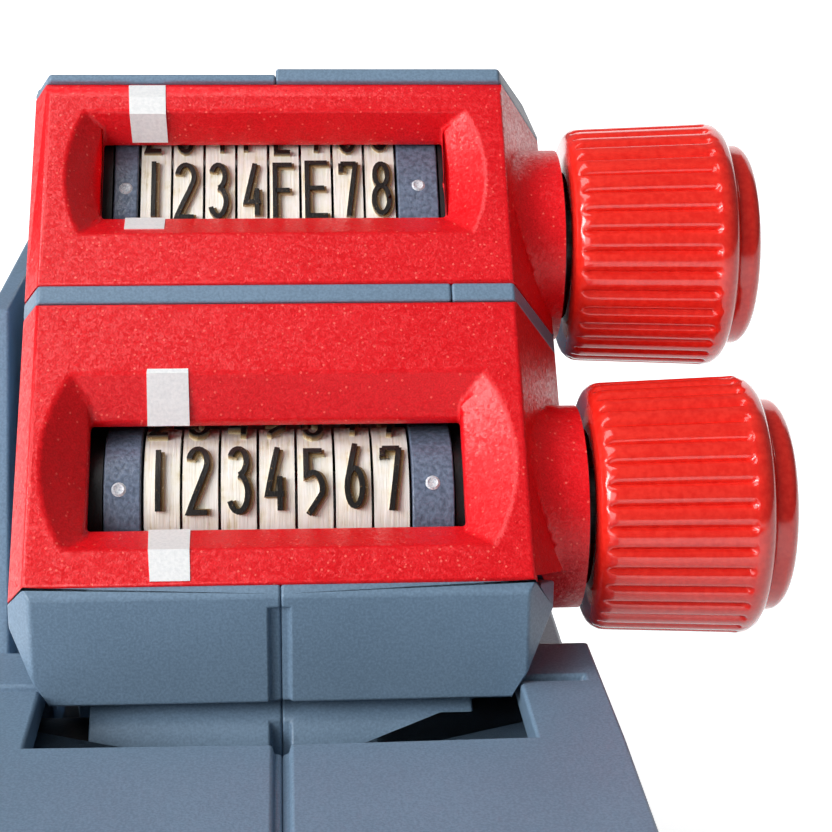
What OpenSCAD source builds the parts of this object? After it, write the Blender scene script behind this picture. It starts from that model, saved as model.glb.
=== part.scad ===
// Hand-held price labeller with two lines of type bands.
// X runs across the labeller, Y forward to the nose and Z up from the base plate.

/* [Body] */
// Half the width of the main body
body_half = 23; // [22.5:0.5:25]
// Half the width of the handle
handle_half = 17.5; // [16:0.5:19]
// Wall thickness of the body
wall = 2.4; // [1.8:0.1:2.8]
// Height of the deck behind the print head
deck_z = 70.6; // [70:0.2:74]
// Height of the side walls beside the print head
shoulder_z = 64.2; // [62.5:0.2:65]
// Length of the handle behind the print head
handle_length = 121.5; // [112:0.5:140]
// Half the width of the opening for the print head
opening_half = 17; // [16.6:0.1:18]
// Thickness of the base plate
base_thick = 4; // [3:0.2:4.6]

/* [Print head] */
// Half the width of the flat face of the covers
face_half = 17.9; // [17.5:0.1:18.4]
// Half the width of the head below its flared flanks
flank_half = 21.9; // [21.2:0.1:22.2]
// Depth of the flared flanks
flank_depth = 8.4; // [7.6:0.1:8.8]
// Half the width of the head below its narrow left flank
left_half = 19.2; // [18.9:0.1:20]
// Depth of the narrow left flank
left_depth = 2.6; // [1.8:0.1:3.4]
// Wall thickness of the head and its covers
shell = 1.6; // [1.3:0.1:1.7]
// Thickness of the covers under their recesses
floor_thick = 0.9; // [0.6:0.1:0.95]
// Depth of the recesses around the windows
recess_depth = 2.6; // [2:0.1:2.65]
// Height of the lower cover along the face
lower_cover_height = 22.8; // [21.5:0.1:23]
// Height of the upper cover along the face
upper_cover_height = 18.75; // [17.9:0.05:18.9]
// Width of the strip between the covers
strip_width = 1.65; // [1.2:0.05:2]

/* [Type] */
// Pitch of the bands in the upper row
upper_pitch = 2.55; // [2.4:0.01:2.6]
// Pitch of the bands in the lower row
lower_pitch = 2.815; // [2.6:0.005:2.85]
// Gap between neighbouring bands
band_gap = 0.22; // [0.06:0.02:0.3]
// Radius of the lower bands on their drive wheels
lower_band_r = 6.25; // [6:0.05:6.35]
// Radius of the upper bands on their drive wheels
upper_band_r = 5.8; // [5.5:0.05:5.9]
// Thickness of the bands
band_thick = 0.8; // [0.6:0.05:1]

/* [Knobs] */
// Radius of the knobs at their inner end
knob_r = 9.5; // [8.8:0.1:9.8]
// Length of the ribbed part of the knobs
knob_length = 13; // [10:0.5:16]
// Ribs on each knob
knob_ribs = 36; // [24:1:40]
// Radius of the end discs of the knobs
knob_cap_r = 8.2; // [6:0.1:8.8]
// Radius of the necks behind the knobs
neck_r = 7.8; // [7.2:0.1:7.9]
// Radius of the knob shafts
shaft_r = 2.9; // [2.4:0.05:3]

/* [Labels] */
// Width of the label roll
label_width = 26; // [20:0.5:26.5]
// Radius of the round house of the label roll
roll_house_r = 30.5; // [28:0.5:32]
// Gap between a full label roll and its house
roll_gap = 3.5; // [3.1:0.1:8]
// Radius of the ink roller
ink_r = 3.8; // [3.2:0.05:3.9]
// Radius of the feed wheel
feed_r = 8.2; // [7:0.1:8.6]
// Radius of the applicator roller
applicator_r = 6; // [5:0.1:6.2]

/* [Pins] */
// Radius of the head axle and the lever pin
pivot_r = 2.5; // [2:0.1:2.8]
// Radius of the feed axle
feed_axle_r = 2.5; // [2:0.1:3]
// Radius of the applicator axle
nose_axle_r = 2; // [1.5:0.1:2.5]
// Radius of the guide and ink roller axles
thin_axle_r = 1.5; // [1:0.1:1.8]
// Radius of the ink arm pivots and the drive pins
stub_r = 2; // [1.6:0.1:2.2]
// Radius of the roll cover pin
hinge_pin_r = 1.2; // [0.9:0.05:1.4]
// Radius of the screws of the body and the base
screw_r = 1.25; // [1:0.05:1.5]
// Clearance around turning pins
run_gap = 0.06; // [0.03:0.01:0.1]
// Clearance between faces that move past each other
free_gap = 0.35; // [0.3:0.05:0.5]

/* [Hidden] */
$fn = 64;
face_tilt = 45;
head_z = 78;
base_mid = 54;
base_rear = 12;
base_front = 96;
floor_gap = 0.6;
slot_rear = -9.7;

head_pivot = [2.5, 64];
head_travel = 19.5;
lever_pivot = [-7.25, 40];
drive_point = [22, 55];
feed_point = [45.13, 26.86];
feed_pivot = [62, 14];
ink_pivot = [45.5, 57];
ink_point = [33, 44.6];
guide_point = [12.5, 35.5];
applicator_point = [98.5, 13.5];
roll_point = [78, 60.5];
roll_r = roll_house_r - roll_gap;
roll_top = roll_point[1] + roll_house_r;
cover_hinge_angle = 35;
cover_hinge = roll_point + (roll_house_r - 0.7) * [cos(cover_hinge_angle), sin(cover_hinge_angle)];

seat_gap = 0.05;
axis_depth = 9.9;
lower_axis_v = 10.15;
upper_axis_v = 33.85;
lower_axis = face_point(lower_axis_v, -axis_depth);
upper_axis = face_point(upper_axis_v, -axis_depth);
lower_bar = [26.7, 51.1];
upper_bar = [34.2, 53.8];
bar_wrap = 3.5;
bar_r = bar_wrap - band_thick - seat_gap;
upper_guide = face_point(39.3, -5.7);
guide_wrap = 1.6;
disc_step = 0.25;
disc_gap = 0.1;
disc_end = 0.12;
guide_bar_r = guide_wrap - band_thick - seat_gap;
lower_wheel_r = lower_band_r - band_thick - seat_gap;
upper_wheel_r = upper_band_r - band_thick - seat_gap;
wheel_bore = 4.2;
type_half = 14.3;
strip_joint = 13.1;
window_left = 0.4;
wedge_rise = 4.2;
wedge_gap = 0.6;
plate_in = 13;
plate_out = 14;

lower_bands = 7;
upper_bands = 8;
lower_start = -10.06;
lower_end = lower_start + lower_bands * lower_pitch;
upper_start = -10.88;
upper_end = upper_start + upper_bands * upper_pitch;
upper_cover_start = lower_cover_height + strip_width;
upper_cover_end = upper_cover_start + upper_cover_height;
cover_depth = 6.3;
neck_root = face_half + (axis_depth - neck_r) * (flank_half - face_half) / flank_depth;
neck_flare = [[-1.9, 1.75], [-0.85, 1.75], [-0.36, 1.07], [0.31, 0.49], [1.12, 0.14], [2.1, -0.02]];
flank_start = face_half - 0.5;

wall_in = body_half - wall;
rib_out = body_half - 1.2;
arm_out = wall_in - 0.4;
arm_in = arm_out - 1.8;
ink_out = arm_in - 0.3;
ink_in = ink_out - 1.7;
lid_half = wall_in - 1;
leg_out = 15.2;
post_x = wall_in - 3;
post_r = 3.2;
base_head_r = 2.3;
post_ys = [base_rear + 23, base_front - 8];
pin_end = body_half - 1;
boss_in = wall_in - 1.4;
boss_r = 3.6;
screw_head_r = 2.7;
cheek_in = left_half + 2.2;
cheek_out = cheek_in + 1.6;

grip_half = 15;
grip_wall = 2.2;
grip_end = 3 - handle_length;
spring_r = 4;
spring_wire = 0.55;
spring_turns = 6;
spring_pitch = 1.5;
spring_steps = 14;
spring_sides = 8;
knob_start = body_half + 0.4;
knob_edge = 1;
groove_r = 0.45;
knob_end_r = knob_r + 0.5;
knob_taper = atan((knob_end_r - knob_r) / knob_length);
neck_end = knob_start - 0.7;
sleeve_start = 15;
sleeve_end = knob_start - 0.4;
sleeve_r = 6.3;

gray = [0.40, 0.45, 0.52];
red = [0.85, 0.12, 0.13];
cream = [0.93, 0.90, 0.79];
slate = [0.24, 0.27, 0.33];
steel = [0.72, 0.73, 0.75];
black = [0.12, 0.12, 0.13];

// outline of the body seen from its right side
body_side = [
  [10, floor_gap], [base_front, floor_gap], [103, 6], [106, 20], [105.4, 36], [106.6, 50],
  roll_point, [48, shoulder_z], [9.5, shoulder_z], [7.2, deck_z - 0.7], [slot_rear, deck_z], [-30, deck_z],
  [3.5 - handle_length, deck_z - 7.1], [-handle_length, deck_z - 12.6],
  [-handle_length, deck_z - 23.6], [3.5 - handle_length, deck_z - 28.6],
  [-26, deck_z - 21.1], [-19.5, 44], [-16, 24]
];

// outline of the body seen from above
body_plan = [
  [-handle_half, 6.5 - handle_length], [4.5 - handle_half, -handle_length],
  [handle_half - 4.5, -handle_length], [handle_half, 6.5 - handle_length],
  [handle_half, -42], [body_half, -24], [body_half, 100], [body_half - 4, 112],
  [4 - body_half, 112], [-body_half, 100], [-body_half, -24], [-handle_half, -42]
];

// outline of the print head seen from its right side
head_side = [
  [-0.7, 69.2], [8.5, 67.2], [20.6, 50], [39.6, 56.6], [39.6, 98], [35.5, 106],
  face_point(upper_cover_end + 1.3, 0), face_point(-0.99, 0)
];

// outline of the print head seen from behind, measured from its pivot in the printing position
head_rear = [
  [-15.7, -40], [15.7, -40], [15.7, 2], [16.3, 6], [flank_half, 13.8], [flank_half, 80],
  [-flank_half, 80], [-flank_half, 13.8], [-16.3, 6], [-15.7, 2]
];

// outline of the print head seen from above, with its slanted rear corners
head_plan = [
  [-17.3, -0.9], [17.3, -0.9], [flank_half + 0.5, 5.5], [flank_half + 0.5, 60],
  [-flank_half - 0.5, 60], [-flank_half - 0.5, 5.5]
];

// section of the print head across its sloped face
head_section = [
  [-left_half, -80], [flank_half, -80], [flank_half, -flank_depth], [face_half, 0],
  [-face_half, 0], [-left_half, -left_depth]
];

screw_points = [[-104, 53], [-38, 60], [13.6, 10], [84, 26.5]];
head_screw_points = [[24.4, 77], [5, 70.9]];

function face_point(v, w) = [0, head_z] + turn([v, w], face_tilt);
function screw_face(p) = p[0] < -30 ? handle_half : body_half;
function unit(p) = p / norm(p);
function side_normal(p, q) = let (d = unit(q - p)) [-d[1], d[0]];
function turn(p, a) = [p[0] * cos(a) - p[1] * sin(a), p[0] * sin(a) + p[1] * cos(a)];
function corner_in(m, n, d) = d / (1 + m * n) * (m + n);
function inset(p, d) = [
  for (i = [0 : len(p) - 1])
    let (a = p[(i + len(p) - 1) % len(p)], b = p[i], c = p[(i + 1) % len(p)])
    b + corner_in(side_normal(a, b), side_normal(b, c), d)
];

module at_base() {
  translate([0, -base_mid, 0]) children();
}

module along_x(x0, x1) {
  translate([x0, 0, 0]) rotate([90, 0, 90]) linear_extrude(x1 - x0) children();
}

module both_sides(x0, x1) {
  along_x(x0, x1) children();
  along_x(-x1, -x0) children();
}

module rod(x0, x1, p, r) {
  translate([x0, p[0], p[1]]) rotate([0, 90, 0]) cylinder(h = x1 - x0, r = r);
}

module block(x0, x1, y0, y1, z0, z1) {
  translate([x0, y0, z0]) cube([x1 - x0, y1 - y0, z1 - z0]);
}

module on_face() {
  translate([0, 0, head_z]) rotate([face_tilt, 0, 0]) children();
}

module spot(p, r) {
  translate(p) circle(r);
}

// outline around two circles and their common tangents
module link(p, r, q, s) {
  e = unit(q - p);
  a = acos((r - s) / norm(q - p));
  spot(p, r);
  spot(q, s);
  polygon([p + r * turn(e, -a), q + s * turn(e, -a), q + s * turn(e, a), p + r * turn(e, a)]);
}

module left_half() {
  intersection() {
    children();
    block(-100, 0, -200, 200, -10, 200);
  }
}

module right_half() {
  intersection() {
    children();
    block(0, 100, -200, 200, -10, 200);
  }
}

module body_form(d) {
  intersection() {
    along_x(-60, 60) union() {
      polygon(inset(body_side, d));
      spot(roll_point, roll_house_r - d);
    }
    translate([0, 0, -5]) linear_extrude(140) polygon(inset(body_plan, d));
  }
}

module cover_sector(from, to, r_in, r_out) {
  intersection() {
    difference() {
      spot(roll_point, r_out);
      spot(roll_point, r_in);
    }
    polygon([
      roll_point, roll_point + 60 * [cos(from), sin(from)],
      roll_point + 90 * [cos((from + to) / 2), sin((from + to) / 2)], roll_point + 60 * [cos(to), sin(to)]
    ]);
  }
}

module body_bores() {
  rod(-pin_end, pin_end, head_pivot, pivot_r);
  rod(-pin_end, pin_end, lever_pivot, pivot_r);
  rod(-pin_end, pin_end, feed_pivot, feed_axle_r);
  rod(-pin_end, pin_end, applicator_point, nose_axle_r);
  rod(-pin_end, pin_end, cover_hinge, hinge_pin_r);
  rod(-pin_end, pin_end, ink_pivot, stub_r);
  for (p = screw_points) {
    rod(-60, body_half - 4, p, screw_r);
    rod(-60, 5.6 - screw_face(p), p, screw_head_r + 0.1);
  }
  for (s = [-1, 1])
    for (y = post_ys)
      translate([post_x * s, y, base_thick]) cylinder(h = 5, r = screw_r);
}

module body_shell() {
  difference() {
    union() {
      difference() {
        body_form(0);
        body_form(wall);
        block(-opening_half, opening_half, slot_rear, 46.5, 58, 120);
        block(-wall_in, wall_in, -32, -9, 27, 47.2);
        block(-14.5, 14.5, 95, 120, 7, 24);
        block(-wall_in, wall_in, base_rear - 0.2, base_front + 0.2, -1, base_thick + 0.1);
        along_x(-lid_half - 0.4, lid_half + 0.4) union() {
          cover_sector(30.5, 129, roll_house_r - 4.5, roll_house_r + 3.5);
          spot(cover_hinge, 2.4);
        }
        block(-0.6, 0.5, -90, slot_rear + 1, deck_z - 0.7, deck_z + 1);
        block(-rib_out, rib_out, 0.1, 1, deck_z - 1.1, deck_z + 1);
      }
      both_sides(boss_in, wall_in + 0.5) {
        spot(head_pivot, 5);
        spot(feed_pivot, 5);
        spot(ink_pivot, 4);
      }
      for (p = screw_points) both_sides(0, screw_face(p) - wall + 0.5) spot(p, boss_r);
      for (s = [-1, 1])
        for (y = post_ys)
          translate([post_x * s, y, base_thick + 0.1]) cylinder(h = 6, r = post_r);
    }
    body_bores();
  }
}

module body_left() {
  color(gray) at_base() {
    left_half() body_shell();
    along_x(-cheek_out, -cheek_in) polygon([
      [14, 60], [26.5, roll_top], roll_point + [0, roll_house_r], roll_point, [48, 60]
    ]);
    along_x(-cheek_out, -wall_in) polygon([[14, 60], [15.7, shoulder_z], [48, shoulder_z], [48, 60]]);
  }
}

module body_right() {
  color(gray) at_base() right_half() body_shell();
}

module body_screws() {
  color(steel) at_base() for (p = screw_points) {
    rod(3.6 - screw_face(p), 10, p, screw_r);
    difference() {
      rod(3.4 - screw_face(p), 5.6 - screw_face(p), p, screw_head_r);
      block(-40, 4.2 - screw_face(p), p[0] - 0.4, p[0] + 0.4, p[1] - 2, p[1] + 2);
    }
  }
}

module base_plate() {
  color(gray) at_base() difference() {
    block(0.2 - wall_in, wall_in - 0.2, base_rear, base_front, 0, base_thick);
    for (s = [-1, 1])
      for (y = post_ys) {
        translate([post_x * s, y, -1]) cylinder(h = 10, r = screw_r);
        translate([post_x * s, y, -1]) cylinder(h = 2.8, r = base_head_r + 0.1);
      }
  }
}

module base_screws() {
  color(steel) at_base() for (s = [-1, 1])
    for (y = post_ys) {
      translate([post_x * s, y, 1.6]) cylinder(h = 7, r = screw_r - seat_gap);
      difference() {
        translate([post_x * s, y, 0.5]) cylinder(h = 1.3, r = base_head_r);
        block(post_x * s - 0.4, post_x * s + 0.4, y - 2, y + 2, 0, 1);
      }
    }
}

module lever_bores() {
  spot(lever_pivot, pivot_r + run_gap);
  link(drive_point + [7, 0.6], stub_r + free_gap, drive_point + [-7.6, -0.45], stub_r + free_gap);
}

module lever_arm() {
  difference() {
    union() {
      link(lever_pivot, 6.5, drive_point, 5);
      link(lever_pivot, 6.5, [-18, 37], 4.5);
    }
    lever_bores();
  }
}

function grip_z(y) = lever_pivot[1] + (y - lever_pivot[0]) * tan(15.5);

module hand_lever() {
  color(gray) at_base() difference() {
    union() {
      both_sides(arm_in, arm_out) lever_arm();
      along_x(arm_in, arm_out) difference() {
        link(lever_pivot, 6.5, feed_point, 3.8);
        lever_bores();
      }
      along_x(-arm_out, arm_out) polygon([[-21, 32.5], [-15, 34], [-15, 41], [-21, 40]]);
      along_x(-grip_half, grip_half) polygon([
        [grip_end, grip_z(grip_end) - 4], [-20, grip_z(-20) - 5], [-15, grip_z(-15) - 3],
        [-15, grip_z(-15) + 3], [-20, grip_z(-20) + 5], [grip_end, grip_z(grip_end) + 4],
        [grip_end - 3, grip_z(grip_end) + 1], [grip_end - 3, grip_z(grip_end) - 2]
      ]);
    }
    along_x(grip_wall - grip_half, grip_half - grip_wall) polygon([
      [grip_end + 2, grip_z(grip_end) - 1], [-24, grip_z(-24) - 2.4],
      [-24, grip_z(-24) + 9], [grip_end + 2, grip_z(grip_end) + 9]
    ]);
    rod(arm_in - 1, arm_out + 1, feed_point, 1.6);
  }
}

module lever_pin() {
  color(steel) at_base() rod(-pin_end, pin_end, lever_pivot, pivot_r);
}

module lever_feed_pin() {
  color(steel) at_base() {
    rod(arm_in, arm_out, feed_point, 1.6);
    rod(13.2, arm_in, feed_point, stub_r);
  }
}

function coil_point(i, j) = let (
  a = 360 * i / spring_steps,
  b = 360 * j / spring_sides,
  r = spring_r + spring_wire * cos(b)
) [
  spring_pitch * (i / spring_steps - spring_turns / 2) + spring_wire * sin(b),
  lever_pivot[0] + r * cos(a),
  lever_pivot[1] + r * sin(a)
];

module lever_spring() {
  n = spring_turns * spring_steps;
  m = spring_sides;
  points = [for (i = [0 : n]) for (j = [0 : m - 1]) coil_point(i, j)];
  sides = [for (i = [0 : n - 1]) for (j = [0 : m - 1])
    [i * m + j, i * m + (j + 1) % m, (i + 1) * m + (j + 1) % m, (i + 1) * m + j]];
  ends = [[for (j = [m - 1 : -1 : 0]) j], [for (j = [0 : m - 1]) n * m + j]];
  color(steel) at_base() polyhedron(points, concat(sides, ends));
}

module head_axle() {
  color(steel) at_base() rod(-pin_end, pin_end, head_pivot, pivot_r);
}

module head_form(d) {
  intersection() {
    along_x(-60, 60) polygon(inset(head_side, d));
    translate([0, head_pivot[0], head_pivot[1]]) rotate([head_travel, 0, 0])
      translate([0, 90, 0]) rotate([90, 0, 0]) linear_extrude(150) polygon(inset(head_rear, d));
    on_face() translate([0, 90, 0]) rotate([90, 0, 0]) linear_extrude(150) polygon(inset(head_section, d));
    linear_extrude(150) polygon(inset(head_plan, d));
  }
}

module face_block(x0, x1, v0, v1, w0, w1) {
  on_face() block(x0, x1, v0, v1, w0, w1);
}

module strip_zone(x0, x1) {
  face_block(x0, x1, lower_cover_height + seat_gap, upper_cover_start - seat_gap, -5, 2);
}

// corner of the right flank that the lower cover leaves to the head
module flank_wedge(aside, gap) {
  on_face() along_x(face_half + aside, 40) polygon([
    [-1, 1], [0.3 - gap, 1], [0.3 - gap, 0], [wedge_rise - gap, -flank_depth],
    [wedge_rise - gap, -flank_depth - 2], [-1, -flank_depth - 2]
  ]);
}

module cover_seat(v0, v1) {
  face_block(-40, 40, v0, v1, -cover_depth - seat_gap, 5);
  face_block(flank_start - seat_gap, 40, v0, v1, -flank_depth - seat_gap, 5);
}

module head_shell() {
  difference() {
    union() {
      difference() {
        head_form(0);
        head_form(shell);
        difference() {
          cover_seat(0, lower_cover_height + seat_gap);
          flank_wedge(0.5, wedge_gap);
        }
        cover_seat(upper_cover_start - seat_gap, upper_cover_end + seat_gap);
        along_x(-type_half, type_half) polygon([[22, 44], [38, 44], [38, 64], [19.6, 57]]);
      }
      along_x(-13.7, 13.7) union() {
        spot(head_pivot, 4.5);
        polygon([[1.6, 66], [2.5, 60], [10.5, 64.2], [8.5, 68], [1.6, 69.8]]);
      }
      intersection() {
        head_form(0.4);
        for (p = head_screw_points) rod(-30, 30, p, 2.4);
      }
    }
    rod(-15, 15, head_pivot, pivot_r + run_gap);
    rod(13, 40, lower_axis, neck_r + 0.2);
    rod(13, 40, upper_axis, neck_r + 0.2);
    both_sides(14, 20) spot(drive_point, stub_r);
    for (p = head_screw_points) {
      rod(-30, 9, p, 1);
      rod(-40, -12.2, p, 1.9);
    }
  }
}

module head_left() {
  color(gray) at_base() {
    difference() {
      left_half() head_shell();
      face_block(-40, 1, upper_cover_end + 0.75, upper_cover_end + 3, -3, 3);
      block(-0.85, 1, -3, -0.2, 60, 76.4);
    }
    intersection() {
      head_form(0);
      strip_zone(-40, strip_joint);
    }
  }
}

module head_right() {
  color(gray) at_base() {
    difference() {
      right_half() head_shell();
      block(-1, 0.6, -3, -0.2, 60, 76.4);
      strip_zone(-1, strip_joint + seat_gap);
    }
    intersection() {
      head_form(0);
      strip_zone(strip_joint + seat_gap, 40);
    }
  }
}

module head_screws() {
  color(steel) at_base() for (p = head_screw_points) {
    rod(-12, 8, p, 1);
    rod(-13.6, -12.2, p, 1.8);
  }
}

module head_drive_pins() {
  color(steel) at_base() {
    rod(plate_in, arm_out + 0.2, drive_point, stub_r);
    rod(-arm_out - 0.2, -plate_in, drive_point, stub_r);
  }
}

module side_plates() {
  color(gray) at_base() both_sides(plate_in, plate_out) difference() {
    union() {
      spot(lower_axis, 6);
      link(upper_axis, 6, upper_guide, 1.9);
      polygon([
        lower_axis + [-5, -3], [21.6, 52.2], lower_bar + [0, -3], upper_bar + [1.5, -2.6],
        upper_axis + [5.9, 0], face_point(upper_axis_v, 2.5 - axis_depth),
        face_point(lower_axis_v, 2.5 - axis_depth)
      ]);
    }
    for (p = head_screw_points) spot(p, 2.5);
    spot(lower_axis, wheel_bore);
    spot(upper_axis, wheel_bore);
    spot(lower_bar, bar_r);
    spot(upper_bar, bar_r);
    spot(upper_guide, guide_bar_r);
    spot(drive_point, stub_r);
  }
}

module cover(v0, v1, axis, recess, window, half, apex) {
  mid = (recess[0] + recess[1]) / 2;
  left = half + window_left;
  edge = half + 1.7;
  rise = apex - edge;
  span = (recess[1] - recess[0]) / 2;
  curve = (span * span + rise * rise) / (2 * rise);
  difference() {
    union() {
      difference() {
        union() {
          on_face() intersection() {
            translate([0, v1, 0]) rotate([90, 0, 0]) linear_extrude(v1 - v0) polygon(head_section);
            union() {
              block(-40, 40, v0, v1, -cover_depth, 1);
              block(flank_start, 40, v0, v1, -flank_depth, 1);
            }
          }
          intersection() {
            face_block(flank_start, 40, v0, v1, -flank_depth, 0);
            for (i = [0 : len(neck_flare) - 2])
              translate([neck_root + neck_flare[i][0], axis[0], axis[1]]) rotate([0, 90, 0]) cylinder(
                h = neck_flare[i + 1][0] - neck_flare[i][0], r1 = neck_r + neck_flare[i][1],
                r2 = neck_r + neck_flare[i + 1][1]
              );
          }
        }
        children();
      }
      rod(16.5, neck_end, axis, neck_r);
    }
    on_face() {
      intersection() {
        translate([0, v1 - 1.4, 0]) rotate([90, 0, 0]) linear_extrude(v1 - v0 - 2.8)
          polygon(inset(head_section, shell));
        block(-40, 40, v0, v1, -flank_depth - 1, -recess_depth - floor_thick);
      }
      block(-left, half, window[0], window[1], -9, 1);
      intersection() {
        along_x(-40, 40) polygon([
          [recess[0], 0], [window[0], -recess_depth], [window[1], -recess_depth], [recess[1], 0],
          [recess[1], 1], [recess[0], 1]
        ]);
        union() {
          block(-left, half, v0, v1, -recess_depth, 2);
          translate([apex - curve, mid, -recess_depth])
            cylinder(h = recess_depth, r1 = half - apex + curve, r2 = curve);
          translate([curve - apex, mid, -recess_depth])
            cylinder(h = recess_depth, r1 = left - apex + curve, r2 = curve);
        }
      }
    }
    rod(13.5, 40, axis, sleeve_r + free_gap);
  }
}

module lower_cover() {
  color(red) at_base() cover(
    0, lower_cover_height, lower_axis, [2.7, 16.8], [5.4, 14.1], 13.5, 17.15
  ) flank_wedge(0.2, 0);
}

module upper_cover() {
  color(red) at_base() difference() {
    cover(
      upper_cover_start, upper_cover_end, upper_axis, [28.9, 40.3], [32, 39.35], 13.3, 16.3
    );
    on_face() along_x(-40, 40) polygon([
      [41.6, 0], [upper_cover_end + 0.1, -0.5], [upper_cover_end + 0.1, 1], [41.6, 1]
    ]);
  }
}

module end_disc(x0, x1, hub, axis) {
  difference() {
    union() {
      along_x(x0, x1) children();
      rod(min(x0, hub), max(x1, hub), axis, 5.2);
    }
    rod(-40, 40, axis, wheel_bore);
    rod(-40, 40, upper_guide, guide_bar_r);
  }
}

module lower_end_discs() {
  color(slate) at_base() {
    end_disc(disc_end - plate_in, lower_start - disc_gap, -plate_in, lower_axis)
      spot(lower_axis, lower_band_r + disc_step);
    end_disc(lower_end + disc_gap, plate_in - disc_end, plate_in, lower_axis)
      spot(lower_axis, lower_band_r + disc_step);
  }
}

module upper_end_discs() {
  color(slate) at_base() {
    end_disc(disc_end - plate_in, upper_start - disc_gap, -plate_in, upper_axis)
      link(upper_axis, upper_band_r + disc_step, upper_guide, guide_wrap + disc_step);
    end_disc(upper_end + disc_gap, plate_in - disc_end, plate_in, upper_axis)
      link(upper_axis, upper_band_r + disc_step, upper_guide, guide_wrap + disc_step);
  }
}

module lower_loop(d) {
  link(lower_axis, lower_band_r - d, lower_bar, bar_wrap - d);
}

module upper_loop(d) {
  link(upper_axis, upper_band_r - d, upper_bar, bar_wrap - d);
  link(upper_axis, upper_band_r - d, upper_guide, guide_wrap - d);
}

module in_row(start, pitch, count) {
  for (i = [0 : count - 1])
    along_x(start + i * pitch + band_gap / 2, start + (i + 1) * pitch - band_gap / 2) children();
}

module lower_type_bands() {
  color(cream) at_base() in_row(lower_start, lower_pitch, lower_bands) difference() {
    lower_loop(0);
    lower_loop(band_thick);
  }
}

module upper_type_bands() {
  color(cream) at_base() in_row(upper_start, upper_pitch, upper_bands) difference() {
    upper_loop(0);
    upper_loop(band_thick);
  }
}

module drive_wheels(start, pitch, from, to, axis, r) {
  for (i = [from : to])
    difference() {
      rod(start + i * pitch + 0.1, start + (i + 1) * pitch - 0.1, axis, r);
      rod(-40, 40, axis, wheel_bore);
    }
}

module lower_drive_wheels() {
  color(black) at_base() drive_wheels(lower_start, lower_pitch, 1, lower_bands - 1, lower_axis, lower_wheel_r);
}

module upper_drive_wheels() {
  color(black) at_base() drive_wheels(upper_start, upper_pitch, 1, upper_bands - 1, upper_axis, upper_wheel_r);
}

module lower_first_wheel() {
  color(black) at_base() drive_wheels(lower_start, lower_pitch, 0, 0, lower_axis, lower_wheel_r - 0.27);
}

module upper_first_wheel() {
  color(black) at_base() drive_wheels(upper_start, upper_pitch, 0, 0, upper_axis, upper_wheel_r - 0.27);
}

module lower_print_bar() {
  color(steel) at_base() rod(-plate_out, plate_out, lower_bar, bar_r);
}

module upper_print_bar() {
  color(steel) at_base() rod(-plate_out, plate_out, upper_bar, bar_r);
}

module upper_guide_bar() {
  color(steel) at_base() rod(-plate_out, plate_out, upper_guide, guide_bar_r);
}

module index_sleeve(axis) {
  difference() {
    rod(sleeve_start, sleeve_end, axis, sleeve_r);
    rod(0, 40, axis, shaft_r + run_gap);
  }
}

module lower_index_sleeve() {
  color(slate) at_base() index_sleeve(lower_axis);
}

module upper_index_sleeve() {
  color(slate) at_base() index_sleeve(upper_axis);
}

module shaft(axis, finger_x, pitch) {
  rod(-12.6, knob_start + knob_length, axis, shaft_r);
  intersection() {
    rod(finger_x - 0.35 * pitch, finger_x + 0.35 * pitch, axis, wheel_bore - free_gap);
    block(-40, 40, axis[0] - 0.9, axis[0] + 0.9, axis[1], axis[1] + 10);
  }
}

module lower_shaft() {
  color(steel) at_base() shaft(lower_axis, lower_start + lower_pitch / 2, lower_pitch);
}

module upper_shaft() {
  color(steel) at_base() shaft(upper_axis, upper_start + upper_pitch / 2, upper_pitch);
}

module knob(axis) {
  difference() {
    translate([knob_start, axis[0], axis[1]]) rotate([0, 90, 0]) difference() {
      union() {
        cylinder(h = knob_edge, r1 = knob_r - knob_edge, r2 = knob_r);
        translate([0, 0, knob_edge])
          cylinder(h = knob_length - 2 * knob_edge, r1 = knob_r, r2 = knob_end_r);
        translate([0, 0, knob_length - knob_edge])
          cylinder(h = knob_edge, r1 = knob_end_r, r2 = knob_end_r - knob_edge);
      }
      for (i = [0 : knob_ribs - 1])
        rotate([0, 0, 360 * i / knob_ribs])
          translate([knob_r + 0.1, 0, 1.5]) rotate([0, knob_taper, 0])
            cylinder(h = knob_length - 3.4, r = groove_r, $fn = 16);
    }
    rod(0, 80, axis, shaft_r);
  }
}

module lower_knob() {
  color(red) at_base() knob(lower_axis);
}

module upper_knob() {
  color(red) at_base() knob(upper_axis);
}

module knob_cap(axis) {
  translate([knob_start + knob_length, axis[0], axis[1]]) rotate([0, 90, 0]) {
    cylinder(h = 1.4, r = knob_cap_r);
    translate([0, 0, 1.4]) cylinder(h = 0.6, r1 = knob_cap_r, r2 = knob_cap_r - 0.6);
  }
}

module lower_knob_cap() {
  color(red) at_base() knob_cap(lower_axis);
}

module upper_knob_cap() {
  color(red) at_base() knob_cap(upper_axis);
}

module platen() {
  color(steel) at_base() difference() {
    union() {
      both_sides(13.4, leg_out) polygon([
        [18, base_thick], [31, base_thick], [32.6, 36], [32.6, 39], [16, 39], [9, 38.5], [9, 32.5], [16, 30]
      ]);
      along_x(-leg_out, leg_out) polygon([[17, 36.6], [32.6, 36.6], [32.6, 39], [17, 39]]);
    }
    rod(-20, 20, guide_point, thin_axle_r);
  }
}

module platen_pad() {
  color(black) at_base() block(-13.2, 13.2, 17.4, 32.2, 39, 39.6);
}

module guide_roller() {
  color(slate) at_base() difference() {
    rod(-13, 13, guide_point, 3);
    rod(-20, 20, guide_point, thin_axle_r + run_gap);
  }
}

module guide_axle() {
  color(steel) at_base() rod(-leg_out, leg_out, guide_point, thin_axle_r);
}

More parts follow.
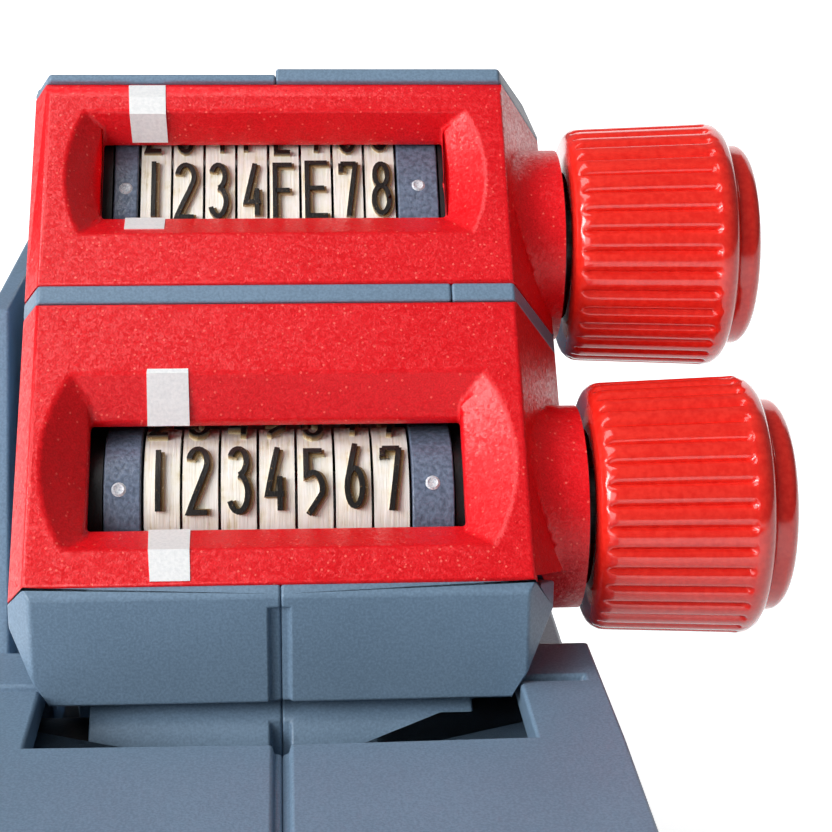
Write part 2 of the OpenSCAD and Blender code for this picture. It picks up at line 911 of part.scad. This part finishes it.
module ink_arms() {
  color(black) at_base() both_sides(ink_in, ink_out) difference() {
    link(ink_pivot, 4, ink_point, 3);
    spot(ink_pivot, stub_r + run_gap);
    spot(ink_point, thin_axle_r);
  }
}

module ink_roller() {
  color(black) at_base() difference() {
    rod(-13, 13, ink_point, ink_r);
    rod(-20, 20, ink_point, thin_axle_r + run_gap);
  }
}

module ink_axle() {
  color(steel) at_base() rod(-ink_out, ink_out, ink_point, thin_axle_r);
}

module ink_pivots() {
  color(steel) at_base() {
    rod(ink_in, pin_end, ink_pivot, stub_r);
    rod(-pin_end, -ink_in, ink_pivot, stub_r);
  }
}

module label_roll() {
  color([0.95, 0.95, 0.93]) at_base() difference() {
    rod(-label_width / 2, label_width / 2, roll_point, roll_r);
    rod(-40, 40, roll_point, 14);
  }
}

module roll_core() {
  color([0.7, 0.58, 0.42]) at_base() difference() {
    rod(-label_width / 2, label_width / 2, roll_point, 14);
    rod(-40, 40, roll_point, 12.6);
  }
}

module roll_hub() {
  rod(6, label_width / 2 + free_gap, roll_point, 12.6 - free_gap);
  rod(label_width / 2 + free_gap, label_width / 2 + 1.5, roll_point, 18);
  rod(label_width / 2 + 1.5, wall_in, roll_point, 7);
}

module roll_hubs() {
  color(slate) at_base() {
    roll_hub();
    mirror([1, 0, 0]) roll_hub();
  }
}

module roll_cover() {
  color(gray) at_base() difference() {
    along_x(-lid_half, lid_half) union() {
      cover_sector(37, 128.4, roll_house_r - 2.2, roll_house_r);
      spot(cover_hinge, 2);
    }
    rod(-40, 40, cover_hinge, hinge_pin_r + run_gap);
  }
}

module roll_cover_pin() {
  color(steel) at_base() rod(-pin_end, pin_end, cover_hinge, hinge_pin_r);
}

module feed_wheel() {
  color(slate) at_base() difference() {
    union() {
      rod(-12.4, 12.4, feed_pivot, feed_r);
      for (i = [0 : 11])
        translate([0, feed_pivot[0], feed_pivot[1]]) rotate([30 * i, 0, 0])
          for (x = [-9, 9]) translate([x, 0, feed_r - 0.4]) cylinder(h = 1.1, r1 = 1, r2 = 0.6, $fn = 16);
    }
    rod(-20, 20, feed_pivot, feed_axle_r + run_gap);
  }
}

module feed_axle() {
  color(steel) at_base() rod(-pin_end, pin_end, feed_pivot, feed_axle_r);
}

module feed_arm() {
  slot = unit(feed_point - feed_pivot);
  color(steel) at_base() along_x(13.4, 15.6) difference() {
    link(feed_pivot, 5, feed_pivot + 21 * slot, 4.4);
    spot(feed_pivot, feed_axle_r + run_gap);
    link(feed_pivot + 19 * slot, stub_r + free_gap, feed_pivot + 27 * slot, stub_r + free_gap);
  }
}

module feed_pawl() {
  slot = unit(feed_point - feed_pivot);
  color(steel) at_base() along_x(12.8, 13.4) link(feed_pivot + 14 * slot, 1.6, feed_pivot + 10 * slot, 0.8);
}

module peel_plate() {
  color(steel) at_base() along_x(-wall_in, wall_in) polygon([[72, 25], [91, 18], [91, 18.6], [72, 26]]);
}

module applicator_roller() {
  color(black) at_base() difference() {
    rod(-13, 13, applicator_point, applicator_r);
    rod(-20, 20, applicator_point, nose_axle_r + run_gap);
  }
}

module applicator_axle() {
  color(steel) at_base() rod(-pin_end, pin_end, applicator_point, nose_axle_r);
}

body_left();
body_right();
body_screws();
base_plate();
base_screws();
hand_lever();
lever_pin();
lever_spring();
lever_feed_pin();
head_axle();
head_left();
head_right();
head_screws();
head_drive_pins();
side_plates();
lower_cover();
upper_cover();
lower_end_discs();
upper_end_discs();
lower_type_bands();
upper_type_bands();
lower_drive_wheels();
upper_drive_wheels();
lower_first_wheel();
upper_first_wheel();
lower_print_bar();
upper_print_bar();
upper_guide_bar();
lower_index_sleeve();
upper_index_sleeve();
lower_shaft();
upper_shaft();
lower_knob();
upper_knob();
lower_knob_cap();
upper_knob_cap();
platen();
platen_pad();
guide_roller();
guide_axle();
ink_arms();
ink_roller();
ink_axle();
ink_pivots();
label_roll();
roll_core();
roll_hubs();
roll_cover();
roll_cover_pin();
feed_wheel();
feed_axle();
feed_arm();
feed_pawl();
peel_plate();
applicator_roller();
applicator_axle();
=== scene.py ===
import math

import bmesh
import bpy
from mathutils import Matrix, Vector


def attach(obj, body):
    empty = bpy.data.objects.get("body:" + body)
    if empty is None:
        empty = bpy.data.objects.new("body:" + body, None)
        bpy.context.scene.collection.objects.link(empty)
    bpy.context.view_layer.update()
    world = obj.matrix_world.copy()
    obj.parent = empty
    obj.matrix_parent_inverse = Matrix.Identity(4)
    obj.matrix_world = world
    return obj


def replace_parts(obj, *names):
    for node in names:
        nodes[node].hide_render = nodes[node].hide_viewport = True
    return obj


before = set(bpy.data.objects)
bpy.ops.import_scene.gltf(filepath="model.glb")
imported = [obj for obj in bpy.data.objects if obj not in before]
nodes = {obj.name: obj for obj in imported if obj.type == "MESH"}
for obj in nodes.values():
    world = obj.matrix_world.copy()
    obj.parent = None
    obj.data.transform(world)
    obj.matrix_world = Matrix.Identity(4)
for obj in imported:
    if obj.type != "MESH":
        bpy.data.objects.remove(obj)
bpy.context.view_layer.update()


# Body: two halves of glass-filled ABS, spark-eroded to a fine satin grain and screwed together along the middle.
# The mould leaves every outer edge with a small radius, and handling leaves pale flecks on the grain.
def linear(code):
    parts = [int(code[i:i + 2], 16) / 255 for i in (1, 3, 5)]
    return (*[c / 12.92 if c <= 0.04045 else ((c + 0.055) / 1.055) ** 2.4 for c in parts], 1.0)


def add(tree, kind, links, **settings):
    node = tree.nodes.new("ShaderNode" + kind)
    for key, value in settings.items():
        setattr(node, key, value)
    for key, value in links.items():
        if isinstance(value, bpy.types.NodeSocket):
            tree.links.new(value, node.inputs[key])
        else:
            node.inputs[key].default_value = value
    return node


def blend_colours(tree, factor, stops):
    ramp = add(tree, "ValToRGB", {"Fac": factor})
    band = ramp.color_ramp
    while len(band.elements) < len(stops):
        band.elements.new(0.5)
    for element, (place, code) in zip(band.elements, stops):
        element.position = place
        element.color = linear(code)
    return ramp.outputs["Color"]


def moulded(name, colours, roughness, grain_mm, grain_depth_mm, fleck=None, coat=0.0, glint=0.0):
    material = bpy.data.materials.new(name)
    material.use_nodes = True
    tree = material.node_tree
    shader = tree.nodes["Principled BSDF"]
    place = add(tree, "TexCoord", {}).outputs["Object"]
    cloud = add(tree, "TexNoise", {"Vector": place, "Scale": 120.0, "Detail": 3.0})
    grain = add(tree, "TexNoise", {"Vector": place, "Scale": 1000 / grain_mm, "Detail": 2.0})
    soft = add(tree, "Math", {0: cloud.outputs["Fac"], 1: 0.2}, operation="MULTIPLY")
    mottle = add(tree, "Math", {0: grain.outputs["Fac"], 1: 0.8, 2: soft.outputs[0]}, operation="MULTIPLY_ADD")
    colour = blend_colours(tree, mottle.outputs[0], [(0.38, colours[0]), (0.62, colours[1])])
    # pale specks in the base colour: dust on the gray, painted glints on the red
    if fleck:
        tone, apart_mm, bare_share, spread = fleck
        dust_and_glint_cells = add(tree, "TexVoronoi", {"Vector": place, "Scale": 1000 / apart_mm, "Randomness": 1.0})
        pick = add(tree, "SeparateColor", {"Color": dust_and_glint_cells.outputs["Color"]})
        rare = add(tree, "Math", {0: pick.outputs["Red"], 1: bare_share}, operation="GREATER_THAN")
        near = add(tree, "Math", {0: dust_and_glint_cells.outputs["Distance"], 1: spread}, operation="LESS_THAN")
        both = add(tree, "Math", {0: rare.outputs[0], 1: near.outputs[0]}, operation="MULTIPLY")
        mix = add(tree, "Mix", {"Factor": both.outputs[0], 6: colour, 7: linear(tone)}, data_type="RGBA")
        colour = mix.outputs[2]
    tree.links.new(colour, shader.inputs["Base Color"])
    gloss = add(tree, "MapRange", {"Value": cloud.outputs["Fac"], 3: roughness - 0.06, 4: roughness + 0.06})
    tree.links.new(gloss.outputs[0], shader.inputs["Roughness"])
    bump = add(tree, "Bump", {"Strength": 1.0, "Distance": grain_depth_mm / 1000, "Height": grain.outputs["Fac"]})
    facet = add(tree, "TexVoronoi", {"Vector": place, "Scale": 600 / grain_mm})
    tilt = add(tree, "VectorMath", {0: facet.outputs["Color"], 1: (0.5, 0.5, 0.5)}, operation="SUBTRACT")
    scaled = add(tree, "VectorMath", {0: tilt.outputs[0], "Scale": glint}, operation="SCALE")
    rough = add(tree, "VectorMath", {0: bump.outputs[0], 1: scaled.outputs[0]}, operation="ADD")
    normal = add(tree, "VectorMath", {0: rough.outputs[0]}, operation="NORMALIZE")
    tree.links.new(normal.outputs[0], shader.inputs["Normal"])
    shader.inputs["IOR"].default_value = 1.5
    shader.inputs["Coat Weight"].default_value = coat
    shader.inputs["Coat Roughness"].default_value = 0.12
    return material


def piece(name, bm, material, body, smooth_to=40):
    mesh = bpy.data.meshes.new(name)
    bm.to_mesh(mesh)
    bm.free()
    mesh.shade_smooth()
    mesh.set_sharp_from_angle(angle=math.radians(smooth_to))
    mesh.materials.append(material)
    made = bpy.data.objects.new(name, mesh)
    bpy.context.scene.collection.objects.link(made)
    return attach(made, body)


def rounded(node, radius_mm, material, body, within_mm=1000):
    bm = bmesh.new()
    bm.from_mesh(nodes[node].data)
    bmesh.ops.remove_doubles(bm, verts=bm.verts, dist=2e-6)
    bmesh.ops.dissolve_limit(bm, angle_limit=math.radians(0.6), verts=bm.verts, edges=bm.edges)
    sharp = [e for e in bm.edges if e.is_manifold and e.calc_face_angle() > math.radians(28)
             and e.calc_length() > radius_mm / 1000 and all(abs(v.co.x) < within_mm / 1000 for v in e.verts)]
    bmesh.ops.bevel(bm, geom=sharp, offset=radius_mm / 1000, offset_type="OFFSET", segments=2,
                    profile=0.5, affect="EDGES", clamp_overlap=False, material=-1)
    made = piece(node + "_moulding", bm, material, body, smooth_to=35)
    made.modifiers.new("flat faces", "WEIGHTED_NORMAL").keep_sharp = True
    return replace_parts(made, node)


def dress(names, material):
    for name in names.split():
        nodes[name].data.materials.clear()
        nodes[name].data.materials.append(material)


# satin gray that scatters the light softly, with a few pale specks of dust
gray_abs = moulded("moulded_gray_abs", ("#6C859C", "#7B95AE"), 0.42, 0.18, 0.02, fleck=("#E4E8EC", 2.4, 0.985, 0.09))
for half in ("body_left", "body_right"):
    rounded(half, 0.3, gray_abs, "body")
rounded("base_plate", 0.4, gray_abs, "body")
rounded("roll_cover", 0.3, gray_abs, "roll_lid")


# Hand lever: one gray moulding with two arms, squeezed towards the handle against a wound spring.
# It turns on a ground steel pin that sits in both body walls.
rounded("hand_lever", 0.4, gray_abs, "lever")


# Pins, screws and bars: ground and turned steel, with a faint lengthwise polish.
# They are pressed into the walls or held by their heads.
steel = bpy.data.materials.new("ground_steel")
steel.use_nodes = True
tree = steel.node_tree
shader = tree.nodes["Principled BSDF"]
place = add(tree, "TexCoord", {}).outputs["Object"]
stretch = add(tree, "Mapping", {"Vector": place, "Scale": (400.0, 6000.0, 6000.0)})
marks = add(tree, "TexNoise", {"Vector": stretch.outputs[0], "Scale": 1.0, "Detail": 3.0})
tree.links.new(blend_colours(tree, marks.outputs["Fac"], [(0.3, "#A9ACB0"), (0.7, "#C9CBCE")]),
               shader.inputs["Base Color"])
dull = add(tree, "MapRange", {"Value": marks.outputs["Fac"], 3: 0.22, 4: 0.42})
tree.links.new(dull.outputs[0], shader.inputs["Roughness"])
shader.inputs["Metallic"].default_value = 1.0
dress("body_screws base_screws lever_pin lever_spring lever_feed_pin head_screws head_drive_pins lower_print_bar "
      "upper_print_bar upper_guide_bar lower_shaft upper_shaft platen guide_axle ink_axle ink_pivots roll_cover_pin "
      "feed_axle feed_arm feed_pawl peel_plate applicator_axle", steel)


# Label path: a paper roll on a card core between two hubs, a toothed feed wheel, guide and applicator rollers.
# The hubs and wheels are dark acetal, the rollers soft black rubber, and the arms of the ink roller black nylon.
slate_acetal = moulded("moulded_slate_acetal", ("#3A4251", "#454D5C"), 0.38, 0.22, 0.03)
black_nylon_and_shade = moulded("moulded_black_nylon_and_painted_shade", ("#17181A", "#202226"), 0.45, 0.2, 0.02)
black_rubber = moulded("black_rubber", ("#141414", "#1E1E1E"), 0.7, 0.12, 0.02)
label_paper = moulded("label_paper", ("#EDEDE8", "#F6F6F2"), 0.6, 0.1, 0.004)
core_card = moulded("core_card", ("#A98C63", "#B89A70"), 0.8, 0.3, 0.02)
dress("roll_hubs feed_wheel guide_roller lower_index_sleeve upper_index_sleeve", slate_acetal)
# the head axle is dressed in this black so that the slot ends around it read dark: painted shade
dress("head_axle ink_arms lower_drive_wheels upper_drive_wheels lower_first_wheel upper_first_wheel", black_nylon_and_shade)
dress("platen_pad ink_roller applicator_roller", black_rubber)
dress("label_roll", label_paper)
dress("roll_core", core_card)


# Print head: two gray halves with a strip between the covers, which swing down on the axle to print.
# The thin inner plates carry the shafts and bars.
for half in ("head_left", "head_right"):
    rounded(half, 0.22, gray_abs, "head")
dress("side_plates", black_nylon_and_shade)


# Type bands: cream moulded rubber, ground in a fine vertical grain, that run over the drive wheels.
# The raised characters carry black ink on top; the brown down their flanks and on a low shoulder set to the right of
# each stroke is painted shade and painted shadow from the light on the left.
head_frame = Matrix.Translation((0, -0.054, 0.078)) @ Matrix.Rotation(math.radians(45), 4, "X")
band_rubber = bpy.data.materials.new("cream_type_rubber")
band_rubber.use_nodes = True
tree = band_rubber.node_tree
shader = tree.nodes["Principled BSDF"]
place = add(tree, "TexCoord", {}).outputs["Object"]
streak = add(tree, "Mapping", {"Vector": place, "Scale": (5200.0, 260.0, 260.0)})
grain = add(tree, "TexNoise", {"Vector": streak.outputs[0], "Scale": 1.0, "Detail": 3.0})
cloud = add(tree, "TexNoise", {"Vector": place, "Scale": 900.0, "Detail": 3.0})
soil = add(tree, "Math", {0: grain.outputs["Fac"], 1: cloud.outputs["Fac"]}, operation="ADD")
half = add(tree, "Math", {0: soil.outputs[0], 1: 0.5}, operation="MULTIPLY")
tree.links.new(blend_colours(tree, half.outputs[0], [(0.3, "#DDD0AC"), (0.42, "#F8F3E4"), (0.58, "#FFFDF7")]),
               shader.inputs["Base Color"])
bump = add(tree, "Bump", {"Strength": 1.0, "Distance": 0.00006, "Height": grain.outputs["Fac"]})
tree.links.new(bump.outputs[0], shader.inputs["Normal"])
shader.inputs["Roughness"].default_value = 0.6
dress("lower_type_bands upper_type_bands", band_rubber)

ink_and_shade_type = bpy.data.materials.new("ink_and_shade_type_rubber")
ink_and_shade_type.use_nodes = True
tree = ink_and_shade_type.node_tree
shader = tree.nodes["Principled BSDF"]
place = add(tree, "TexCoord", {}).outputs["Object"]
rise = add(tree, "Attribute", {}, attribute_name="rise").outputs["Fac"]
wear = add(tree, "TexNoise", {"Vector": place, "Scale": 6000.0, "Detail": 3.0})
worn = add(tree, "MapRange", {"Value": wear.outputs["Fac"], 1: 0.62, 2: 0.74, 3: 0.0, 4: 0.4})
ink_and_shade = add(tree, "Math", {0: rise, 1: worn.outputs[0]}, operation="SUBTRACT")
# a flank runs from cream through painted brown shade to the black ink at its top, and a shoulder stops at the
# painted brown
tree.links.new(blend_colours(tree, ink_and_shade.outputs[0],
                             [(0.2, "#D9CCA8"), (0.5, "#94774A"), (0.86, "#3A3024"), (0.97, "#161412")]),
               shader.inputs["Base Color"])
bump = add(tree, "Bump", {"Strength": 1.0, "Distance": 0.00003, "Height": wear.outputs["Fac"]})
tree.links.new(bump.outputs[0], shader.inputs["Normal"])
shader.inputs["Roughness"].default_value = 0.38


def arc(x, y, across, up, start, end, steps=12):
    turns = [math.radians(start + (end - start) * i / steps) for i in range(steps + 1)]
    return [(x + across * math.cos(a), y + up * math.sin(a)) for a in turns]


def lines(*corners):
    path = [corners[0]]
    for (x0, y0), (x1, y1) in zip(corners, corners[1:]):
        steps = max(1, round(6 * abs(y1 - y0)))
        path += [(x0 + (x1 - x0) * i / steps, y0 + (y1 - y0) * i / steps) for i in range(1, steps + 1)]
    return path


# each character is drawn as the middle lines of its strokes in a box one wide and one high
strokes = {
    "1": [lines((0.5, 0), (0.5, 1))],
    "2": [arc(0.5, 0.76, 0.5, 0.24, 165, -25) + lines((0.93, 0.62), (0, 0), (1, 0))[1:]],
    "3": [arc(0.46, 0.77, 0.46, 0.23, 155, -80), arc(0.48, 0.27, 0.52, 0.27, 88, -155)],
    "4": [lines((0.62, 1), (0, 0.24), (1, 0.24)), lines((0.76, 0.5), (0.76, 0))],
    "5": [lines((1, 1), (0, 1), (0, 0.58)) + arc(0.42, 0.37, 0.58, 0.25, 100, 0)[1:]
          + lines((0.96, 0.3), (0.12, 0))],
    "6": [lines((0.58, 1), (0.06, 0.4)), arc(0.5, 0.28, 0.5, 0.28, 0, 360, 20)],
    "7": [lines((0, 0.84), (0, 1)), lines((0, 1), (1, 1)), lines((0.96, 1), (0.46, 0))],
    "8": [arc(0.5, 0.77, 0.42, 0.23, 0, 360, 18), arc(0.5, 0.27, 0.5, 0.27, 0, 360, 20)],
    "F": [lines((1, 1), (0, 1), (0, 0)), lines((0, 0.5), (0.86, 0.5))],
    "E": [lines((1, 1), (0, 1), (0, 0), (1, 0)), lines((0, 0.51), (0.84, 0.51))],
}


# where the bands bend, in millimetres up and above the face of the head
lower_axis, lower_band_r = (10.15, -9.9), 6.25
upper_axis, upper_band_r = (33.85, -9.9), 5.8
upper_guide, guide_wrap = (39.3, -5.7), 1.6


def on_bend(u, centre, r, a):
    return head_frame @ (Vector((u, centre[0] + r * math.sin(a), centre[1] + r * math.cos(a))) / 1000)


def on_lower(u, s, h):
    return on_bend(u, lower_axis, lower_band_r + h, (s - lower_axis[0]) / lower_band_r)


def on_upper(u, s, h):
    if s > upper_guide[0]:
        return on_bend(u, upper_guide, guide_wrap + h, (s - upper_guide[0]) / guide_wrap)
    flat_start = (max(s, upper_axis[0]), upper_axis[1])
    return on_bend(u, flat_start, upper_band_r + h, min(s - upper_axis[0], 0) / upper_band_r)


def type_row(name, row, on_band, thick, height, parts=2):
    # the shoulder is a wider, lower copy of each stroke set 0.2 mm to the right, coloured brown as a painted shadow
    layers = (("type", height, thick, 0.0), ("type_shadow_shoulder", 0.3, thick + 0.1, 0.2))
    for part, high, width, aside in layers[:parts]:
        bm = bmesh.new()
        rise = bm.verts.layers.float.new("rise")
        for letter, left, right, bottom, top in row:
            for stroke in strokes[letter]:
                across, up = right - left - thick, top - bottom - thick
                path = [(left + aside + thick / 2 + x * across, bottom + thick / 2 + y * up) for x, y in stroke]
                if letter == "1":
                    path = [((left + right) / 2 + aside, y) for x, y in path]
                start = [bm.verts.new(on_band(x, y, -0.1)) for x, y in path]
                ends = [bm.edges.new(pair) for pair in zip(start, start[1:])]
                raised = bmesh.ops.extrude_edge_only(bm, edges=ends)["geom"]
                tops = [v for v in raised if isinstance(v, bmesh.types.BMVert)]
                for vertex, (x, y) in zip(tops, path):
                    vertex.co = on_band(x, y, high)
                    vertex[rise] = 1.0 if part == "type" else 0.5
                bmesh.ops.remove_doubles(bm, verts=start + tops, dist=2e-6)
        bmesh.ops.recalc_face_normals(bm, faces=bm.faces)
        made = piece(name + "_" + part, bm, ink_and_shade_type, "head")
        wall = made.modifiers.new("stroke", "SOLIDIFY")
        wall.thickness = width / 1000
        wall.offset = 0
        wall.use_even_offset = True
        made.modifiers.new("crisp rims", "EDGE_SPLIT").split_angle = math.radians(45)


lower_row = [("1", -9.12, -8.71, 7.3, 12.3), ("2", -6.86, -5.14, 7.2, 12.4), ("3", -3.87, -2.15, 7.2, 12.38),
             ("4", -1.11, 0.49, 7.25, 12.42), ("5", 1.73, 3.32, 6.95, 12.1), ("6", 4.74, 6.26, 7.5, 12.7),
             ("7", 7.4, 9.09, 7.15, 12.25)]
upper_row = [("1", -9.95, -9.57, 32.8, 38.2), ("2", -8.09, -6.39, 32.72, 37.89), ("3", -5.41, -3.85, 32.77, 37.88),
             ("4", -2.65, -1.12, 32.85, 37.98), ("F", -0.34, 1.39, 32.67, 37.86), ("E", 2.21, 4.2, 32.79, 38.05),
             ("7", 4.92, 6.51, 32.77, 37.95), ("8", 7.52, 9.11, 32.97, 37.95)]
type_row("lower", lower_row, on_lower, 0.4, 0.55)
type_row("upper", upper_row, on_upper, 0.37, 0.5)
following = [(b, (l + r) / 2 - 0.8, (l + r) / 2 + 0.8, bottom + 6.5, top + 6.5)
             for (a, l, r, bottom, top), b in zip(lower_row, "2345377")]
type_row("lower_following", following, on_lower, 0.4, 0.5, parts=1)
following = [(b, (l + r) / 2 - 0.75, (l + r) / 2 + 0.75, bottom + 6.1, top + 6.1)
             for (a, l, r, bottom, top), b in zip(upper_row, "234FE733")]
type_row("upper_following", following, on_upper, 0.37, 0.45, parts=1)


# End discs: dark acetal discs with a coarse spark-eroded skin, one at each end of a row.
# A drill point has left a small crater in the rim of each, and the crater's pale colour is a painted highlight.
# slate blue with a coarse pebbled sheen
disc_acetal = moulded("spark_eroded_acetal", ("#566377", "#74839B"), 0.3, 0.34, 0.07)
for name in ("lower_end_discs", "upper_end_discs"):
    rounded(name, 0.15, disc_acetal, "head")
# pale gray to near white: a painted highlight in each crater
crater_painted_highlight = moulded("crater_acetal_painted_highlight", ("#AEB6C2", "#E6EAEE"), 0.3, 0.12, 0.03)
bm = bmesh.new()
for place, u, s in ((on_lower, -11.75, 9.1), (on_lower, 11.27, 9.3),
                    (on_upper, -11.95, 35.6), (on_upper, 11.3, 35.8)):
    middle = place(u, s, 0.24)
    out = (place(u, s, 1.24) - middle).normalized()
    turn = Vector((0, 0, 1)).rotation_difference(out).to_matrix().to_4x4()
    rim = bmesh.ops.create_circle(bm, cap_ends=True, segments=20, radius=0.00055,
                                  matrix=Matrix.Translation(middle) @ turn)
    face = rim["verts"][0].link_faces[0]
    side = 1 if face.normal.dot(out) > 0 else -1
    bmesh.ops.inset_individual(bm, faces=[face], thickness=0.00016, depth=side * 0.00011)
    bmesh.ops.inset_individual(bm, faces=[face], thickness=0.00016, depth=-side * 0.00009)
piece("disc_craters", bm, crater_painted_highlight, "head")


# Window covers: bright red ABS snapped over the head, with a sparkling spark-eroded grain.
# A funnel-shaped recess leads to each window, and a white stroke of paint marks the first character.
# deep red whose grain is tilted in small facets that catch the light; the pink specks in its colour are painted
# glints, drawn a little coarser than real so that they show
red_abs = moulded("moulded_red_abs", ("#E20411", "#F61622"), 0.36, 0.13, 0.025,
                  fleck=("#FF5F54", 0.42, 0.72, 0.22), glint=0.18)
for cover in ("lower_cover", "upper_cover"):
    rounded(cover, 0.28, red_abs, "head", within_mm=18.1)

paint = moulded("white_marking_paint", ("#EDEEEF", "#F8F8F8"), 0.5, 0.25, 0.02)


def paint_stroke(name, path, left, right):
    bm = bmesh.new()
    edge = []
    for i, (v, w) in enumerate(path):
        u = left[0] + (left[1] - left[0]) * i / (len(path) - 1)
        edge.append(bm.verts.new(head_frame @ (Vector((u, v, w + 0.03)) / 1000)))
    rails = [bm.edges.new(pair) for pair in zip(edge, edge[1:])]
    far = [v for v in bmesh.ops.extrude_edge_only(bm, edges=rails)["geom"] if isinstance(v, bmesh.types.BMVert)]
    for i, vertex in enumerate(far):
        vertex.co.x = (right[0] + (right[1] - right[0]) * i / (len(far) - 1)) / 1000
    bmesh.ops.recalc_face_normals(bm, faces=bm.faces)
    made = piece(name, bm, paint, "head", smooth_to=8)
    skin = made.modifiers.new("paint", "SOLIDIFY")
    skin.thickness = 0.00008
    skin.offset = 0
    made.modifiers.new("crisp rims", "EDGE_SPLIT").split_angle = math.radians(20)
    return made


paint_stroke("upper_mark", [(43.1, -0.47), (41.6, 0), (40.0, 0), (39.05, -2.5)], (-11.65, -11.4), (-8.75, -8.6))
paint_stroke("upper_smear", [(31.95, -2.56), (29.8, -0.75)], (-11.8, -11.7), (-8.7, -8.65))
paint_stroke("lower_mark", [(17.15, 0), (16.8, 0), (13.75, -2.55)], (-9.63, -9.7), (-6.64, -6.6))
paint_stroke("lower_foot_mark", [(5.35, -2.55), (2.7, 0), (0.3, 0)], (-9.45, -9.1), (-6.45, -6.3))


# Knobs: glossy red ABS caps with thirty-six broad ribs, pressed on their shafts and closed by an end disc.
# Pulling a knob out moves its shaft along the row, and turning it rolls the chosen band.
# polished red that mirrors the white sweep along each rib
red_gloss = moulded("polished_red_abs", ("#F0251B", "#FB3427"), 0.18, 0.5, 0.008, coat=0.6)
knob_start, knob_r = 23.4, 9.5
# each ring of a knob: how far along, how far over the knob's radius, and how deep its grooves are
knob_rings = [(0, -3.5, 0), (0, -1.0, 0), (0.12, -0.6, 0), (0.35, -0.3, 0), (0.55, -0.18, 0.25), (0.8, -0.04, 0.7),
              (1.2, 0.03, 1), (6.5, 0.24, 1), (10.9, 0.42, 1), (11.2, 0.44, 0.7), (11.35, 0.46, 0.25),
              (11.5, 0.47, 0), (12.1, 0.38, 0), (12.6, 0.08, 0), (12.9, -0.35, 0), (13, -0.85, 0), (13, -3.5, 0)]
ribs, facets, groove_depth = 36, 10, 0.48
for row, centre in (("lower", lower_axis), ("upper", upper_axis)):
    axis = head_frame @ (Vector((0, *centre)) / 1000)
    bm = bmesh.new()
    last = None
    for along, over, depth in knob_rings:
        x, r = knob_start + along, knob_r + over
        ring = bmesh.ops.create_circle(bm, segments=ribs * facets, radius=r / 1000)["verts"]
        for i, vertex in enumerate(ring):
            turn = (i % facets) / facets * 2 - 1
            groove = depth * groove_depth * abs(turn) ** 3.4
            vertex.co *= 1 - groove / r
        bmesh.ops.transform(bm, verts=ring, matrix=Matrix.Translation((x / 1000, axis.y, axis.z))
                            @ Matrix.Rotation(math.radians(90), 4, "Y"))
        loop = list({e for vertex in ring for e in vertex.link_edges})
        if last:
            bmesh.ops.bridge_loops(bm, edges=last + loop)
        last = loop
    bmesh.ops.recalc_face_normals(bm, faces=bm.faces)
    knob = piece(row + "_ribbed_knob", bm, red_gloss, row + "_dial", smooth_to=50)
    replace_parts(knob, row + "_knob")
    rounded(row + "_knob_cap", 0.3, red_gloss, row + "_dial")


# Studio: a white paper sweep, lit softly from the left, from above and weakly from the front.
# It is seen from behind and above, as the operator sees it, and the paper keeps a pale shadow near the part.
floor = bpy.data.materials.new("white_paper_sweep")
floor.use_nodes = True
tree = floor.node_tree
shader = tree.nodes["Principled BSDF"]
shader.inputs["Base Color"].default_value = linear("#F2F2F2")
shader.inputs["Roughness"].default_value = 0.9
path = add(tree, "LightPath", {})
seen = add(tree, "Math", {0: path.outputs["Is Camera Ray"], 1: path.outputs["Is Glossy Ray"]}, operation="MAXIMUM")
away = add(tree, "VectorMath", {0: add(tree, "TexCoord", {}).outputs["Object"]}, operation="LENGTH")
bright = add(tree, "MapRange", {"Value": away.outputs["Value"], 1: 0.15, 2: 0.6, 3: 0.74, 4: 1.0})
lift = add(tree, "Math", {0: seen.outputs[0], 1: bright.outputs[0]}, operation="MULTIPLY")
shader.inputs["Emission Color"].default_value = (1, 1, 1, 1)
tree.links.new(lift.outputs[0], shader.inputs["Emission Strength"])
bm = bmesh.new()
bmesh.ops.create_grid(bm, x_segments=1, y_segments=1, size=6)
bmesh.ops.translate(bm, verts=bm.verts, vec=(0, 0, -0.0004))
mesh = bpy.data.meshes.new("sweep")
bm.to_mesh(mesh)
bm.free()
mesh.materials.append(floor)
sweep = bpy.data.objects.new("sweep", mesh)
bpy.context.scene.collection.objects.link(sweep)

world = bpy.data.worlds.new("soft_room")
bpy.context.scene.world = world
world.use_nodes = True
tree = world.node_tree
path = add(tree, "LightPath", {})
level = add(tree, "MapRange", {"Value": path.outputs["Is Camera Ray"], 3: 0.12, 4: 1.0})
tree.links.new(level.outputs[0], tree.nodes["Background"].inputs["Strength"])
tree.nodes["Background"].inputs["Color"].default_value = (1, 1, 1, 1)

for name, where, size, power in (("key", (-0.62, -0.36, 0.38), 0.3, 3.8),
                                 ("fill", (-0.5, -0.72, 0.36), 0.5, 2.3),
                                 ("top", (-0.35, -0.1, 0.8), 0.5, 2.7),
                                 ("front", (0.4, 0.85, 0.3), 0.9, 3.0)):
    lamp = bpy.data.lights.new(name, "AREA")
    lamp.energy = power
    lamp.size = size
    shown = bpy.data.objects.new(name, lamp)
    bpy.context.scene.collection.objects.link(shown)
    shown.location = where
    shown.rotation_mode = "QUATERNION"
    shown.rotation_quaternion = (Vector((0, -0.03, 0.08)) - Vector(where)).to_track_quat("-Z", "Y")

camera = bpy.data.objects.new("camera", bpy.data.cameras.new("camera"))
bpy.context.scene.collection.objects.link(camera)
camera.location = (0.000376, -0.1838, 0.1318)
camera.rotation_mode = "ZYX"
camera.rotation_euler = (1.2605, -0.0658, -0.0113)
camera.data.sensor_width = 36
camera.data.lens = 2000 / 832 * 36
camera.data.clip_start = 0.01
bpy.context.scene.camera = camera
bpy.context.scene.view_settings.view_transform = "Standard"

bpy.context.view_layer.update()
